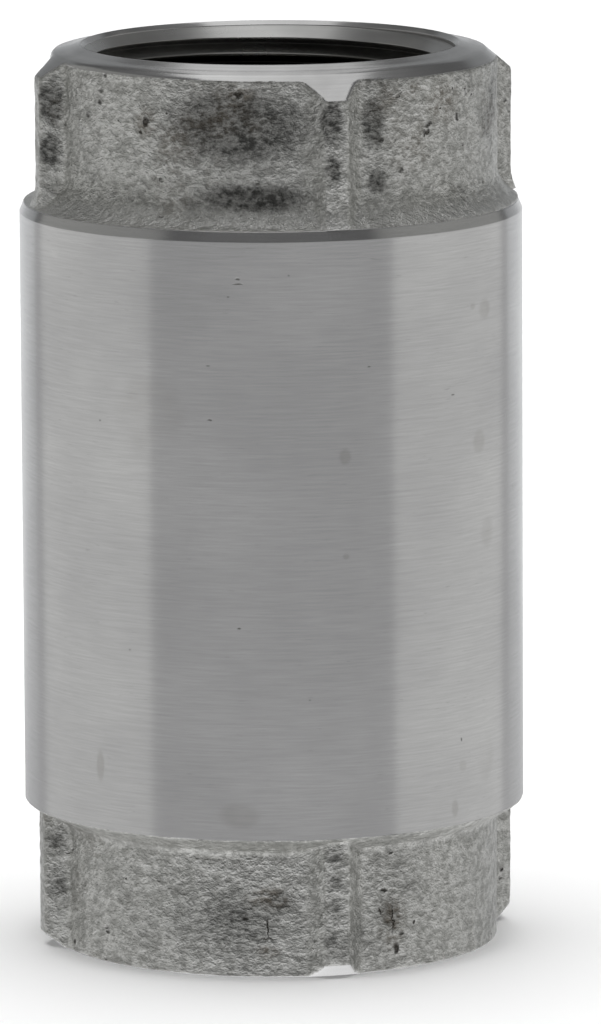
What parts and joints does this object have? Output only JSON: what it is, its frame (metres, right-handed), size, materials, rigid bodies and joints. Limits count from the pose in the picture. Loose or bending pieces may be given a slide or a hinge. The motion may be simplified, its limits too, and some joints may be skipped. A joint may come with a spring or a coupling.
{
  "type": "in-line spring check valve",
  "caption": "Stainless in-line check valve with threaded ends, ribbed wrench hubs, a turned barrel and a spring-loaded guided poppet inside.",
  "frame": {"origin": "centre of the inlet rim, on the valve's centre line, where it stands", "axes": "+Z along the flow from the inlet to the outlet; the front, with the camera facing +Y, has a cast rib 14.6 degrees to the right of -Y"},
  "size_m": [0.0572, 0.0572, 0.103],
  "materials": {
    "cast_stainless": "satin turned barrel on a lightly blasted investment casting",
    "turned_stainless": "fine turned",
    "spring_stainless": "drawn and stamped spring stainless",
    "nitrile": "matt moulded",
    "acetal": "matt turned"
  },
  "bodies": {
    "housing": {"valve_body": "cast_stainless", "seat_ring": "turned_stainless", "seat_o_ring": "nitrile", "seat_snap_ring": "spring_stainless", "inlet_guide_bush": "acetal", "guide_spider": "turned_stainless", "outlet_guide_bush": "acetal", "guide_snap_ring": "spring_stainless", "return_spring": "spring_stainless"},
    "poppet": {"poppet_stem": "turned_stainless", "poppet_disc": "turned_stainless", "seal_washer": "nitrile", "seal_retainer": "turned_stainless", "lock_washer": "spring_stainless", "lock_nut": "turned_stainless"}
  },
  "joints": [
    {"name": "poppet_lift", "type": "slide", "parent": "housing", "child": "poppet", "axis": [0, 0, 1], "range_m": [0, 0.008], "stiffness_N_per_m": 250, "springref_m": -0.0084, "deforming": ["return_spring"]}
  ]
}
